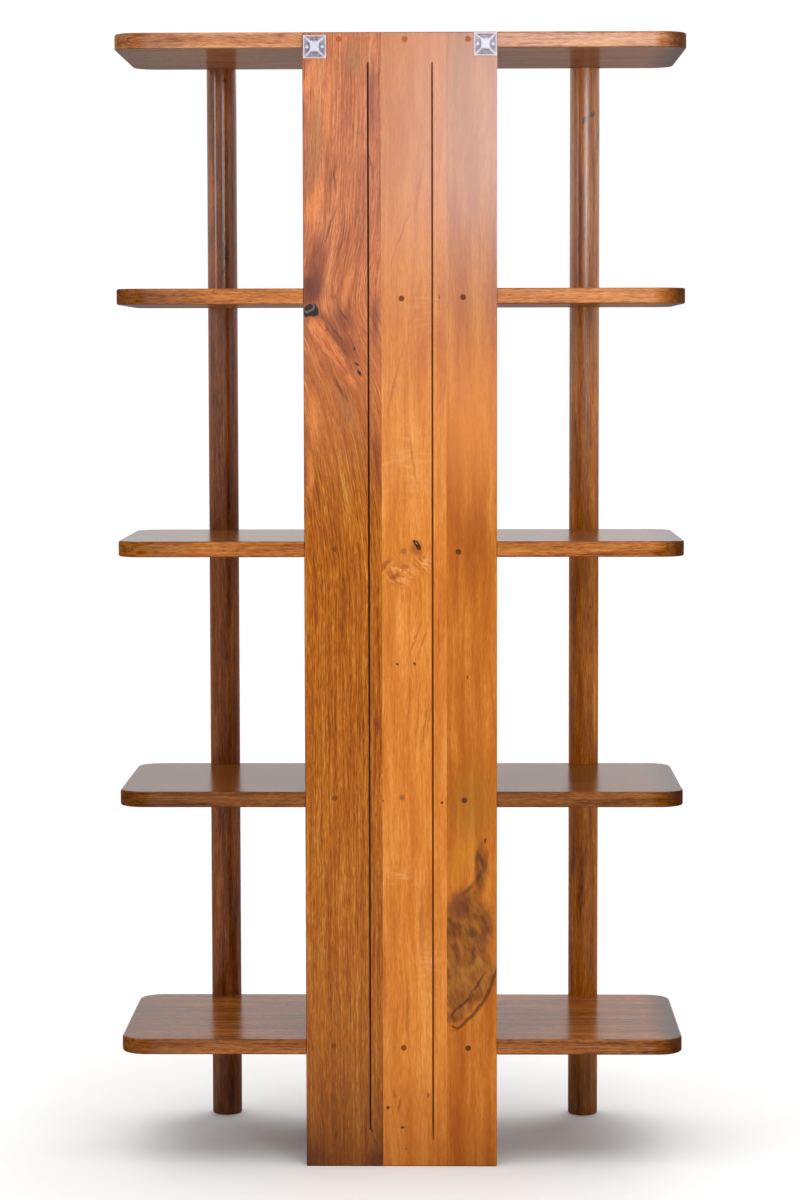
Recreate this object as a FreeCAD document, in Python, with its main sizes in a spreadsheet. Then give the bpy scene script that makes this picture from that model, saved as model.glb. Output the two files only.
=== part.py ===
import FreeCAD, Part

import os

# Open bookcase in solid wood: five round-cornered shelves let onto one back panel and two round poles.
# Front is -Y, the panel's back face looks to +Y, left and right are as seen from the front, and +X is
# right. The origin is on the floor, in the middle of the whole unit. Lengths are in millimetres.

SIZES = {
    # The whole unit. Its depth is from the front of the poles to the back face of the panel.
    "overall_height": 1800,
    "overall_width": 900,
    "overall_depth": 400,
    # Shelves
    "bottom_shelf_top": 206,
    "shelf_thickness": 25,
    "shelf_corner_radius": 40,
    "shelf_edge_round": 3,
    # Poles, and how far each is let into the front edge of a shelf
    "pole_diameter": 50,
    "pole_spacing": 610,
    "pole_housing": 20,
    "pole_end_round": 3,
    # Back panel and its outer boards. The middle board fills what they leave.
    "panel_width": 305,
    "panel_thickness": 25,
    "panel_edge_round": 2,
    "wide_board": 123,
    "narrow_board": 80,
    # Saw kerfs in the panel's back face: how far each stops short of the panel's ends, and its distance
    # from the glue line beside it
    "kerf_width": 3,
    "kerf_depth": 7,
    "kerf_head_margin": 46,
    "wide_kerf_foot_margin": 58,
    "middle_kerf_foot_margin": 42,
    "wide_kerf_inset": 20.5,
    "middle_kerf_inset": 22,
    "saw_radius": 90,
    # Wood screws and the plugs over them
    "plug_diameter": 9,
    "plug_length": 8,
    "screw_head": 8,
    "screw_head_height": 3,
    "screw_shank": 5,
    "screw_point": 7,
    "screw_recess_width": 1,
    "panel_screw_length": 55,
    "pole_screw_length": 80,
    # Anti-tip brackets
    "bracket_side": 36,
    "bracket_height": 10,
    "bracket_base": 2,
    "bracket_rim_width": 2.6,
    "bracket_rim_height": 1.2,
    "saddle_top": 13,
    "saddle_hollow_radius": 16,
    "strap_slot_width": 5,
    "strap_slot_height": 4.3,
    "strap_rib": 1.6,
    "right_bracket_inset": 1.5,
    "right_bracket_drop": 5,
    "left_bracket_inset": 0.5,
    "left_bracket_drop": 1.5,
    "bracket_screw_spacing": 23.2,
    "bracket_screw_head": 7,
    "bracket_screw_head_height": 2.6,
    "bracket_screw_shank": 3.5,
    "bracket_screw_length": 18,
    "bracket_screw_point": 4,
    # Clearances, and how far a cutter runs past what it cuts
    "housing_clearance": 0.2,
    "fixing_clearance": 0.1,
    "overrun": 2,
}

SHELF_COUNT = 5

# Where the glue lines lie in a shelf, as shares of its depth from the back edge
STAVE_EDGE_SHARES = (0, 0.35, 0.66, 1)
STAVE_NAMES = ("back", "middle", "front")

# The panel screws were drilled by hand. Each row is one shelf from the floor up, each pair one screw
# from the right: its place as a share of the panel's width from the middle of the panel, and as a
# share of the shelf's thickness from the middle of the shelf.
PANEL_SCREW_SHARES = (
    ((0.356, 0.09), (-0.012, -0.04), (-0.349, -0.06)),
    ((0.346, 0.1), (-0.006, 0.15), (-0.33, -0.04)),
    ((0.345, 0), (-0.016, -0.13), (-0.3, -0.16)),
    ((0.345, 0), (-0.007, -0.15), (-0.324, -0.08)),
    ((0.312, 0.06), (-0.026, 0.04), (-0.35, 0.04)),
)

# The cross recess of a screw, as shares of the head
RECESS_LENGTH_SHARE = 0.6
RECESS_DEPTH_SHARE = 0.6

# Lengths that follow from the sizes, as expressions
BACK_FACE = "(sizes.overall_depth - sizes.bracket_height) / 2"
SHELF_DEPTH = "(sizes.overall_depth - sizes.pole_diameter + sizes.pole_housing)"
SHELF_PITCH = f"((sizes.overall_height - sizes.bottom_shelf_top) / {SHELF_COUNT - 1})"
POLE_AXIS = "(sizes.overall_depth - sizes.pole_diameter / 2)"
PLUG_BORE = "(sizes.plug_diameter / 2 + sizes.fixing_clearance)"
SHANK_BORE = "(sizes.screw_shank / 2 + sizes.fixing_clearance)"
HEAD_SEAT = "(sizes.plug_length + sizes.screw_head_height)"
BRACKET_SHANK_BORE = "(sizes.bracket_screw_shank / 2 + sizes.fixing_clearance)"

UPRIGHT = FreeCAD.Rotation()
TOWARDS_BACK = FreeCAD.Rotation(FreeCAD.Vector(1, 0, 0), -90)
TOWARDS_FRONT = FreeCAD.Rotation(FreeCAD.Vector(1, 0, 0), 90)
SIDEWAYS = FreeCAD.Rotation(FreeCAD.Vector(0, 1, 0), 90)

doc = FreeCAD.newDocument("bookcase")


# The sheet of sizes
def make_sheet():
    sheet = doc.addObject("Spreadsheet::Sheet", "sizes")
    for row, (name, value) in enumerate(SIZES.items(), start=1):
        sheet.set(f"A{row}", name)
        sheet.set(f"B{row}", str(value))
        sheet.setAlias(f"B{row}", name)
    doc.recompute()
    return sheet


# Binds properties of an object to expressions
def bind(item, **expressions):
    for name, expression in expressions.items():
        item.setExpression(name, expression)


# Turns an object and binds its place
def place(item, x="0", y="0", z="0", turn=UPRIGHT):
    item.Placement = FreeCAD.Placement(FreeCAD.Vector(), turn)
    item.setExpression("Placement.Base.x", x)
    item.setExpression("Placement.Base.y", y)
    item.setExpression("Placement.Base.z", z)
    return item


def box(name, length, width, height, x, y, z):
    item = doc.addObject("Part::Box", name)
    bind(item, Length=length, Width=width, Height=height)
    return place(item, x, y, z)


def cylinder(name, radius, height, x="0", y="0", z="0", turn=UPRIGHT):
    item = doc.addObject("Part::Cylinder", name)
    bind(item, Radius=radius, Height=height)
    return place(item, x, y, z, turn)


def fuse(name, items):
    item = doc.addObject("Part::MultiFuse", name)
    item.Shapes = items
    return item


def cut(name, base, tool):
    item = doc.addObject("Part::Cut", name)
    item.Base = base
    item.Tool = tool
    return item


def common(name, base, tool):
    item = doc.addObject("Part::Common", name)
    item.Base = base
    item.Tool = tool
    return item


# A group of like pieces: one link to the master for each place
def group(name, master, places, turn=UPRIGHT):
    links = []
    for number, (x, y, z) in enumerate(places, start=1):
        link = doc.addObject("App::Link", f"{name}_{number}")
        link.LinkedObject = master
        links.append(place(link, x, y, z, turn))
    item = doc.addObject("Part::Compound", name)
    item.Links = links
    return item


# A board as it comes from the planer: a box whose chosen edges are rounded over. It lies behind the
# origin with its back face on y = 0.
def board_blank(name, length, width, height):
    body = doc.addObject("PartDesign::Body", name)
    plank = body.newObject("PartDesign::AdditiveBox", f"{name}_plank")
    bind(plank, Length=length, Width=width, Height=height)
    place(plank, f"-{length} / 2", f"-{width}")
    doc.recompute()
    return body, plank


def round_edges(body, name, base, subelements, radius):
    fillet = body.newObject("PartDesign::Fillet", name)
    fillet.Base = (base, subelements)
    fillet.setExpression("Radius", radius)
    doc.recompute()
    return fillet


def upright_edges(shape):
    names = []
    for number, edge in enumerate(shape.Edges, start=1):
        if abs(edge.tangentAt(edge.FirstParameter).z) > 0.9:
            names.append(f"Edge{number}")
    return names


def level_faces(shape):
    names = []
    for number, face in enumerate(shape.Faces, start=1):
        if isinstance(face.Surface, Part.Plane) and abs(face.normalAt(0, 0).z) > 0.9:
            names.append(f"Face{number}")
    return names


# Height of the underside of a shelf, counted from 0 at the floor
def shelf_underside(number):
    return f"(sizes.bottom_shelf_top - sizes.shelf_thickness + {number} * {SHELF_PITCH})"


def screw_height(number, share):
    return f"{shelf_underside(number)} + {0.5 + share} * sizes.shelf_thickness"


# Shelves: solid wood, glued up from three staves, corners sawn round and edges rounded over. The back
# edge is notched for the panel, and the front edge for the two poles.
def make_shelves():
    body, plank = board_blank("shelf_blank", "sizes.overall_width", SHELF_DEPTH, "sizes.shelf_thickness")
    corners = round_edges(body, "shelf_corners", plank, upright_edges(plank.Shape),
                          "sizes.shelf_corner_radius")
    round_edges(body, "shelf_edges", corners, level_faces(corners.Shape), "sizes.shelf_edge_round")

    cutter_height = "sizes.shelf_thickness + 2 * sizes.overrun"
    notches = [box("panel_notch", "sizes.panel_width + 2 * sizes.housing_clearance",
                   "sizes.panel_thickness + sizes.overrun", cutter_height,
                   "-sizes.panel_width / 2 - sizes.housing_clearance", "-sizes.panel_thickness",
                   "-sizes.overrun")]
    pole_bores = []
    for side, sign in (("right", ""), ("left", "-")):
        x = f"{sign}sizes.pole_spacing / 2"
        notches.append(cylinder(f"pole_notch_{side}", "sizes.pole_diameter / 2 + sizes.housing_clearance",
                                cutter_height, x, f"-{POLE_AXIS}", "-sizes.overrun"))
        pole_bores.append(cylinder(f"pole_screw_bore_{side}", SHANK_BORE,
                                   f"{HEAD_SEAT} + sizes.pole_screw_length + sizes.overrun",
                                   x, "-sizes.overall_depth", "sizes.shelf_thickness / 2", TOWARDS_BACK))

    slabs = []
    for name, start, end in zip(STAVE_NAMES, STAVE_EDGE_SHARES, STAVE_EDGE_SHARES[1:]):
        slabs.append(box(f"{name}_stave_slab", "sizes.overall_width", f"{end - start} * {SHELF_DEPTH}",
                         "sizes.shelf_thickness", "-sizes.overall_width / 2", f"-{end} * {SHELF_DEPTH}",
                         "0"))

    staves = []
    for number in range(SHELF_COUNT):
        shelf = f"shelf_{number + 1}"
        bores = []
        for place_number, (across, up) in enumerate(PANEL_SCREW_SHARES[number], start=1):
            bores.append(cylinder(f"{shelf}_bore_{place_number}", SHANK_BORE,
                                  f"{HEAD_SEAT} + sizes.panel_screw_length + sizes.overrun",
                                  f"{across} * sizes.panel_width", "0",
                                  f"{0.5 + up} * sizes.shelf_thickness", TOWARDS_FRONT))
        cutters = fuse(f"{shelf}_cutters", notches + pole_bores + bores)
        machined = cut(f"{shelf}_machined", body, cutters)
        for name, slab in zip(STAVE_NAMES, slabs):
            stave = common(f"{shelf}_{name}_stave", machined, slab)
            staves.append(place(stave, "0", BACK_FACE, shelf_underside(number)))
    return staves


# One saw kerf in the panel's back face: a straight run between two saw blades that dip in and out
def kerf(name, x, foot_margin):
    run_out = "sqrt(sizes.saw_radius ^ 2 - (sizes.saw_radius - sizes.kerf_depth) ^ 2)"
    low_end = f"({foot_margin} + {run_out})"
    high_end = f"(sizes.overall_height - sizes.kerf_head_margin - {run_out})"
    left_wall = f"{x} - sizes.kerf_width / 2"
    blade_axis = "sizes.saw_radius - sizes.kerf_depth"
    run = box(f"{name}_run", "sizes.kerf_width", "sizes.kerf_depth + sizes.overrun",
              f"{high_end} - {low_end}", left_wall, "-sizes.kerf_depth", low_end)
    low_blade = cylinder(f"{name}_low_blade", "sizes.saw_radius", "sizes.kerf_width",
                         left_wall, blade_axis, low_end, SIDEWAYS)
    high_blade = cylinder(f"{name}_high_blade", "sizes.saw_radius", "sizes.kerf_width",
                          left_wall, blade_axis, high_end, SIDEWAYS)
    return [run, low_blade, high_blade]


# Back panel: three boards glued edge to edge, floor to top. It stands in the shelves' notches, flush
# with their back edges, and is screwed to each shelf through counterbored holes.
def make_panel():
    body, plank = board_blank("panel_blank", "sizes.panel_width", "sizes.panel_thickness",
                              "sizes.overall_height")
    uprights = round_edges(body, "panel_edges", plank, upright_edges(plank.Shape),
                           "sizes.panel_edge_round")
    round_edges(body, "panel_ends", uprights, level_faces(uprights.Shape), "sizes.panel_edge_round")

    cutters = []
    for number, row in enumerate(PANEL_SCREW_SHARES):
        for place_number, (across, up) in enumerate(row, start=1):
            name = f"panel_{number + 1}_{place_number}"
            x = f"{across} * sizes.panel_width"
            z = screw_height(number, up)
            cutters.append(cylinder(f"{name}_plug_bore", PLUG_BORE, f"{HEAD_SEAT} + sizes.overrun",
                                    x, "sizes.overrun", z, TOWARDS_FRONT))
            cutters.append(cylinder(f"{name}_shank_bore", SHANK_BORE,
                                    "sizes.panel_thickness + sizes.overrun", x, "0", z, TOWARDS_FRONT))
    for number, (x, z) in enumerate(bracket_screw_places(), start=1):
        cutters.append(cylinder(f"bracket_pilot_{number}", BRACKET_SHANK_BORE,
                                "sizes.bracket_screw_length - sizes.bracket_base + sizes.overrun",
                                x, "0", z, TOWARDS_FRONT))
    right_joint = "(sizes.panel_width / 2 - sizes.wide_board)"
    left_joint = "(-sizes.panel_width / 2 + sizes.narrow_board)"
    cutters += kerf("wide_kerf", f"({right_joint} + sizes.wide_kerf_inset)",
                    "sizes.wide_kerf_foot_margin")
    cutters += kerf("middle_kerf", f"({left_joint} + sizes.middle_kerf_inset)",
                    "sizes.middle_kerf_foot_margin")
    machined = cut("panel_machined", body, fuse("panel_cutters", cutters))

    boards = []
    for name, start, width in (
            ("wide", right_joint, "sizes.wide_board"),
            ("middle", left_joint, f"{right_joint} - {left_joint}"),
            ("narrow", "-sizes.panel_width / 2", "sizes.narrow_board")):
        slab = box(f"{name}_board_slab", width, "sizes.panel_thickness", "sizes.overall_height",
                   start, "-sizes.panel_thickness", "0")
        boards.append(place(common(f"back_board_{name}", machined, slab), "0", BACK_FACE))
    return boards


# Poles: turned from one length of wood, ends rounded over, counterbored from the front at each shelf.
# Their foot stands on the floor, and their head is flush with the top shelf.
def make_pole(side, sign):
    body = doc.addObject("PartDesign::Body", f"pole_{side}")
    dowel = body.newObject("PartDesign::AdditiveCylinder", f"pole_{side}_dowel")
    bind(dowel, Radius="sizes.pole_diameter / 2", Height="sizes.overall_height")
    doc.recompute()
    round_edges(body, f"pole_{side}_ends", dowel, level_faces(dowel.Shape), "sizes.pole_end_round")

    front = "-sizes.pole_diameter / 2 - sizes.overrun"
    bores = []
    for name, radius, length in (
            ("plug_bore", PLUG_BORE, f"{HEAD_SEAT} + sizes.overrun"),
            ("shank_bore", SHANK_BORE, "sizes.pole_diameter + 2 * sizes.overrun")):
        bore = body.newObject("PartDesign::SubtractiveCylinder", f"pole_{side}_{name}")
        bind(bore, Radius=radius, Height=length)
        place(bore, "0", front, screw_height(0, 0), TOWARDS_BACK)
        doc.recompute()
        bores.append(bore)

    row = body.newObject("PartDesign::LinearPattern", f"pole_{side}_bores")
    row.Originals = bores
    upward = [item for item in body.Origin.OriginFeatures if item.Role == "Z_Axis"][0]
    row.Direction = (upward, [""])
    row.setExpression("Length", f"{SHELF_COUNT - 1} * {SHELF_PITCH}")
    row.Occurrences = SHELF_COUNT
    body.Tip = row
    doc.recompute()
    return place(body, f"{sign}sizes.pole_spacing / 2", f"{BACK_FACE} - {POLE_AXIS}")


# A round-head wood screw that points down, its head resting on z = 0
def make_screw(name, head, head_height, shank, length, point):
    dome = doc.addObject("Part::Ellipsoid", f"{name}_dome")
    dome.Angle1 = 0
    bind(dome, Radius1=head_height, Radius2=f"{head} / 2", Radius3=f"{head} / 2")
    stem = cylinder(f"{name}_stem", f"{shank} / 2", f"{length} - {point}", "0", "0", f"-{length} + {point}")
    tip = doc.addObject("Part::Cone", f"{name}_tip")
    tip.Radius1 = 0
    bind(tip, Radius2=f"{shank} / 2", Height=point)
    place(tip, "0", "0", f"-{length}")
    solid = fuse(f"{name}_solid", [dome, stem, tip])

    reach = f"{RECESS_LENGTH_SHARE} * {head}"
    depth = f"{RECESS_DEPTH_SHARE} * {head_height}"
    floor = f"{head_height} - {depth}"
    slot = "sizes.screw_recess_width"
    cross = fuse(f"{name}_recess", [
        box(f"{name}_slot_across", reach, slot, f"{depth} + sizes.overrun", f"-{reach} / 2", f"-{slot} / 2",
            floor),
        box(f"{name}_slot_along", slot, reach, f"{depth} + sizes.overrun", f"-{slot} / 2", f"-{reach} / 2",
            floor)])
    return cut(name, solid, cross)


# Wood screws and plugs of the panel: three at each shelf, driven from the back
def make_panel_fixings():
    screw = make_screw("panel_screw", "sizes.screw_head", "sizes.screw_head_height", "sizes.screw_shank",
                       "sizes.panel_screw_length", "sizes.screw_point")
    plug = cylinder("panel_plug", "sizes.plug_diameter / 2", "sizes.plug_length")
    screw_places = []
    plug_places = []
    for number, row in enumerate(PANEL_SCREW_SHARES):
        for across, up in row:
            x = f"{across} * sizes.panel_width"
            z = screw_height(number, up)
            screw_places.append((x, f"{BACK_FACE} - {HEAD_SEAT}", z))
            plug_places.append((x, f"{BACK_FACE} - sizes.plug_length", z))
    return [group("panel_screws", screw, screw_places, TOWARDS_BACK),
            group("panel_plugs", plug, plug_places, TOWARDS_BACK)]


# Wood screws and plugs of the poles: one at each shelf, driven from the front. Each plug is sanded off
# flush with the round of its pole.
def make_pole_fixings():
    screw = make_screw("pole_screw", "sizes.screw_head", "sizes.screw_head_height", "sizes.screw_shank",
                       "sizes.pole_screw_length", "sizes.screw_point")
    front = "-sizes.pole_diameter / 2"
    stock = cylinder("pole_plug_stock", "sizes.plug_diameter / 2", "sizes.plug_length",
                     "0", front, "0", TOWARDS_BACK)
    round_face = cylinder("pole_plug_round", "sizes.pole_diameter / 2", "2 * sizes.plug_diameter",
                          "0", "0", "-sizes.plug_diameter")
    plug = common("pole_plug", stock, round_face)
    screw_places = []
    plug_places = []
    for sign in ("", "-"):
        for number in range(SHELF_COUNT):
            x = f"{sign}sizes.pole_spacing / 2"
            z = screw_height(number, 0)
            screw_places.append((x, f"{BACK_FACE} - sizes.overall_depth + {HEAD_SEAT}", z))
            plug_places.append((x, f"{BACK_FACE} - {POLE_AXIS}", z))
    return [group("pole_screws", screw, screw_places, TOWARDS_FRONT),
            group("pole_plugs", plug, plug_places)]


# Centres of the two anti-tip brackets on the panel's back face
def bracket_places():
    places = []
    for side, sign in (("right", ""), ("left", "-")):
        x = f"{sign}(sizes.panel_width / 2 - sizes.{side}_bracket_inset - sizes.bracket_side / 2)"
        z = f"(sizes.overall_height - sizes.{side}_bracket_drop - sizes.bracket_side / 2)"
        places.append((side, x, z))
    return places


def bracket_screw_places():
    places = []
    for side, x, z in bracket_places():
        places.append((f"{x} + sizes.bracket_screw_spacing / 2", z))
        places.append((f"{x} - sizes.bracket_screw_spacing / 2", z))
    return places


# Anti-tip bracket: moulded in one piece, a square rimmed plate with a saddle in the middle. Two slots
# side by side run up through the saddle, level with the rim's top, for the strap, and a hollow at each
# side clears a screw.
def make_bracket(side, x, z):
    name = f"anti_tip_bracket_{side}"
    half = "sizes.bracket_side / 2"
    inner = "(sizes.bracket_side - 2 * sizes.bracket_rim_width)"
    saddle_height = "sizes.bracket_height - sizes.bracket_base"
    rim = box(f"{name}_rim", "sizes.bracket_side", "sizes.bracket_base + sizes.bracket_rim_height",
              "sizes.bracket_side", f"-{half}", "0", f"-{half}")
    tray = box(f"{name}_tray", inner, "sizes.bracket_rim_height + sizes.overrun", inner,
               f"-{inner} / 2", "sizes.bracket_base", f"-{inner} / 2")
    plate = cut(f"{name}_plate", rim, tray)

    saddle = doc.addObject("Part::Wedge", f"{name}_saddle_blank")
    bind(saddle, Xmin=f"-{inner} / 2", Xmax=f"{inner} / 2", Zmin=f"-{inner} / 2", Zmax=f"{inner} / 2",
         X2min="-sizes.saddle_top / 2", X2max="sizes.saddle_top / 2",
         Z2min="-sizes.saddle_top / 2", Z2max="sizes.saddle_top / 2")
    bind(saddle, Ymin="sizes.bracket_base", Ymax="sizes.bracket_height")

    cutters = []
    for hand, sign in (("right", ""), ("left", "-")):
        cutters.append(cylinder(f"{name}_{hand}_hollow", "sizes.saddle_hollow_radius",
                                f"{saddle_height} + 2 * sizes.overrun",
                                f"{sign}(sizes.saddle_top / 2 + sizes.saddle_hollow_radius)",
                                "sizes.bracket_base - sizes.overrun", "0", TOWARDS_BACK))
        middle = f"{sign}(sizes.strap_rib + sizes.strap_slot_width) / 2"
        cutters.append(box(f"{name}_{hand}_slot", "sizes.strap_slot_width", "sizes.strap_slot_height",
                           "sizes.bracket_side", f"{middle} - sizes.strap_slot_width / 2",
                           "sizes.bracket_base + sizes.bracket_rim_height", f"-{half}"))
    saddle_cut = cut(f"{name}_saddle", saddle, fuse(f"{name}_cutters", cutters))
    moulding = fuse(f"{name}_moulding", [plate, saddle_cut])

    holes = []
    for hand, sign in (("right", ""), ("left", "-")):
        holes.append(cylinder(f"{name}_{hand}_hole", BRACKET_SHANK_BORE, "sizes.bracket_base + 2 * sizes.overrun",
                              f"{sign}sizes.bracket_screw_spacing / 2", "-sizes.overrun", "0",
                              TOWARDS_BACK))
    bracket = cut(name, moulding, fuse(f"{name}_holes", holes))
    return place(bracket, x, BACK_FACE, z)


def make_bracket_screws():
    screw = make_screw("bracket_screw", "sizes.bracket_screw_head", "sizes.bracket_screw_head_height",
                       "sizes.bracket_screw_shank", "sizes.bracket_screw_length",
                       "sizes.bracket_screw_point")
    places = []
    for x, z in bracket_screw_places():
        places.append((x, f"{BACK_FACE} + sizes.bracket_base", z))
    return group("bracket_screws", screw, places, TOWARDS_BACK)


# Checks every object, then writes one file for each piece
def write(pieces):
    doc.recompute()
    for item in doc.Objects:
        if "Invalid" in item.State or "Error" in item.State:
            raise RuntimeError(f"{item.Name} failed: {item.State}")
    for piece in pieces:
        if piece.Shape.isNull() or not piece.Shape.isValid() or not piece.Shape.Solids:
            raise RuntimeError(f"{piece.Name} has no valid solid")
    os.makedirs("parts", exist_ok=True)
    for piece in pieces:
        piece.Label = piece.Name
        piece.Shape.exportStep(f"parts/{piece.Label}.step")
        solids = len(piece.Shape.Solids)
        print(f"{piece.Label}: {solids} solid(s), {piece.Shape.Volume:.0f} mm3")


make_sheet()
pieces = make_panel()
pieces += make_shelves()
pieces.append(make_pole("right", ""))
pieces.append(make_pole("left", "-"))
pieces += make_panel_fixings()
pieces += make_pole_fixings()
for bracket_side, bracket_x, bracket_z in bracket_places():
    pieces.append(make_bracket(bracket_side, bracket_x, bracket_z))
pieces.append(make_bracket_screws())
write(pieces)
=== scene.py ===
import math

import bmesh
import bpy
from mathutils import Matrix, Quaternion, Vector


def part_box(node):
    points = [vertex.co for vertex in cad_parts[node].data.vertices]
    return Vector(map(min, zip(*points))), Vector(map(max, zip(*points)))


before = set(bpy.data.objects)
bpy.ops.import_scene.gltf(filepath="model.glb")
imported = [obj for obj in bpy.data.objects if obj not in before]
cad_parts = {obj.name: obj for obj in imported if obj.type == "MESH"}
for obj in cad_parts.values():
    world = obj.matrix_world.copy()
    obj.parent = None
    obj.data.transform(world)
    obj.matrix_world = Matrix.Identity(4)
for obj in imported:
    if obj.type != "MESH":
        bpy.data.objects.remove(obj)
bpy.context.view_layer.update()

# --------------------------------------------------------------------------------------------------
# Back panel. Three boards of one tropical hardwood, planed, glued edge to edge, sanded and sprayed
# with a clear satin lacquer. Their grain runs up the panel, and each board keeps the knots and the
# colour of its own part of the tree. Places on them are in mm from the unit's middle and the floor.

MM = 0.001
PANEL_TOP = 1800
PANEL_EDGE = 152.5
PANEL_BACK = 195
KERF_HALF_WIDTH = 2.2


def linear(colour):
    """Linear red, green, blue and alpha of an sRGB hex colour"""
    channels = [int(colour[place:place + 2], 16) / 255 for place in (1, 3, 5)]
    return [c / 12.92 if c <= 0.04045 else ((c + 0.055) / 1.055) ** 2.4 for c in channels] + [1.0]


def add(tree, kind, inputs, output=None, stops=None, **settings):
    """Adds a node with its settings and links, and returns the output named, or its first one"""
    node = tree.nodes.new("ShaderNode" + kind)
    for name, value in settings.items():
        setattr(node, name, value)
    for number, (place, value) in enumerate(stops or ()):
        steps = node.color_ramp.elements
        step = steps[number] if number < 2 else steps.new(place)
        step.position = place
        step.color = linear(value) if isinstance(value, str) else (value, value, value, 1.0)
    for key, value in inputs.items():
        socket = node.inputs[key] if isinstance(key, int) else next(
            s for s in node.inputs if s.name == key and s.enabled)
        if isinstance(value, bpy.types.NodeSocket):
            tree.links.new(value, socket)
        else:
            socket.default_value = linear(value) if isinstance(value, str) else value
    shown = [s for s in node.outputs if s.enabled]
    return next(s for s in shown if s.name == output) if output else shown[0]


def new_finish(name, **constants):
    """A material with one shader, whose plain numbers are set on its own sockets"""
    material = bpy.data.materials.new(name)
    material.use_nodes = True
    shader = material.node_tree.nodes["Principled BSDF"]
    for socket, value in constants.items():
        shader.inputs[socket.replace("_", " ").title().replace("Ior", "IOR")].default_value = value
    return material, material.node_tree, shader


def dress(material, *names):
    """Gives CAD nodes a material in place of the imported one"""
    for name in names:
        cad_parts[name].data.materials.clear()
        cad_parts[name].data.materials.append(material)


def mottle(tree, at, across, along, detail, output="Fac", roughness=0.5):
    """Soft noise in grains that are so many mm across and along the fibres, which run in z"""
    scale = (1 / (across * MM), 1 / (across * MM), 1 / (along * MM))
    scaled = add(tree, "Mapping", {"Vector": at, "Scale": scale})
    noise = {"Vector": scaled, "Scale": 1.0, "Detail": detail, "Roughness": roughness}
    return add(tree, "TexNoise", noise, output)


def wander(tree, at, across, along, reach):
    """The place moved about by up to so many mm, so that grain and marks have no ruled edge"""
    noise = mottle(tree, at, across, along, 3.0, "Color")
    middle = add(tree, "VectorMath", {0: noise, 1: (0.5, 0.5, 0.5)}, operation="SUBTRACT")
    reached = add(tree, "VectorMath", {0: middle, "Scale": 2 * reach * MM}, operation="SCALE")
    return add(tree, "VectorMath", {0: at, 1: reached}, operation="ADD")


def timber(tree, at, palette, broad=(24, 380), streaks=(3.2, 150), fibres=(1.1, 30),
           shares=(0.38, 0.58)):
    """Wood, from its darkest to its lightest colour: broad bands, streaks of grain and fibres, each
    so many mm across and along. The shares are the streaks' over the bands, and all over the
    fibres. The fibres are drawn in bundles, coarser than real ones, so that they show."""
    bands, lines, hairs = (mottle(tree, at, *size, detail, roughness=0.6)
                           for size, detail in ((broad, 2.0), (streaks, 4.0), (fibres, 2.0)))
    coarse = add(tree, "Mix", {"Factor": shares[0], "A": bands, "B": lines}, data_type="FLOAT")
    whole = add(tree, "Mix", {"Factor": shares[1], "A": hairs, "B": coarse}, data_type="FLOAT")
    return add(tree, "ValToRGB", {"Fac": whole}, stops=palette), lines


def spots(tree, at, marks):
    """One mask for marks in the wood: x and z of the middle, half sizes across and along, in mm,
    the degrees that its top leans to +x, and the share of the radius over which the edge fades"""
    whole = None
    for x, z, across, along, lean, fade in marks:
        local = add(tree, "Mapping", {
            "Vector": at, "Location": (x * MM, 0, z * MM), "Rotation": (0, math.radians(lean), 0),
            "Scale": (across * MM, 1e3, along * MM)}, vector_type="TEXTURE")
        radius = add(tree, "VectorMath", {0: local}, operation="LENGTH")
        mask = add(tree, "MapRange", {"Value": radius, "From Min": 1.0, "From Max": 1.0 - fade},
                   interpolation_type="SMOOTHSTEP")
        whole = mask if whole is None else add(
            tree, "Math", {0: whole, 1: mask}, operation="MAXIMUM")
    return whole


def stain(tree, colour, mask, paint, strength=1.0):
    """The wood stained with another colour where the mask is 1"""
    soaked = add(tree, "Math", {0: mask, 1: strength}, operation="MULTIPLY")
    return add(tree, "Mix", {"Factor": soaked, "A": colour, "B": paint}, data_type="RGBA")


def marked(tree, colour, at, figure):
    """The wood with its figure, kind by kind: a colour, its strength and the marks that have it"""
    for paint, strength, marks in figure:
        colour = stain(tree, colour, spots(tree, at, marks), paint, strength)
    return colour


def pores(tree, at, amount):
    """Open pores, drawn three times as wide as the real 0.3 mm so that they show"""
    noise = mottle(tree, at, 0.9, 11, 1.0)
    return add(tree, "MapRange", {
        "Value": noise, "From Min": 0.70 - amount, "From Max": 0.82 - amount})


def kerf(tree, place, x):
    """Where a saw kerf is open, from just below its lip: raw wood that no lacquer reached, coloured
    darker
    """
    across, deep = (add(tree, "SeparateXYZ", {0: place}, axis) for axis in "XY")
    between = add(tree, "Math", {
        0: across, 1: x * MM, 2: KERF_HALF_WIDTH * MM}, operation="COMPARE")
    below = add(tree, "MapRange", {
        "Value": deep, "From Min": (PANEL_BACK - 0.1) * MM, "From Max": (PANEL_BACK - 0.7) * MM})
    return add(tree, "Math", {0: between, 1: below}, operation="MULTIPLY")


def end_grain(tree, colour, height):
    """The sawn ends of a board, which soak up more lacquer and so turn darker"""
    for first, last in ((PANEL_TOP - 2.4, PANEL_TOP - 0.6), (2.4, 0.6)):
        end = add(tree, "MapRange", {
            "Value": height, "From Min": first * MM, "From Max": last * MM})
        colour = stain(tree, colour, end, "#5A2C14", 0.7)
    return colour


def sprayed(tree, height, least, most, inside=None):
    """How thick the lacquer is: most at the top, least lower down, and none inside a kerf"""
    thick = add(tree, "MapRange", {
        "Value": height, "From Min": 1.0, "From Max": 1.56, "To Min": least, "To Max": most})
    if inside is None:
        return thick
    return add(tree, "Mix", {"Factor": inside, "A": thick, "B": 0.0}, data_type="FLOAT")


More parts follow.
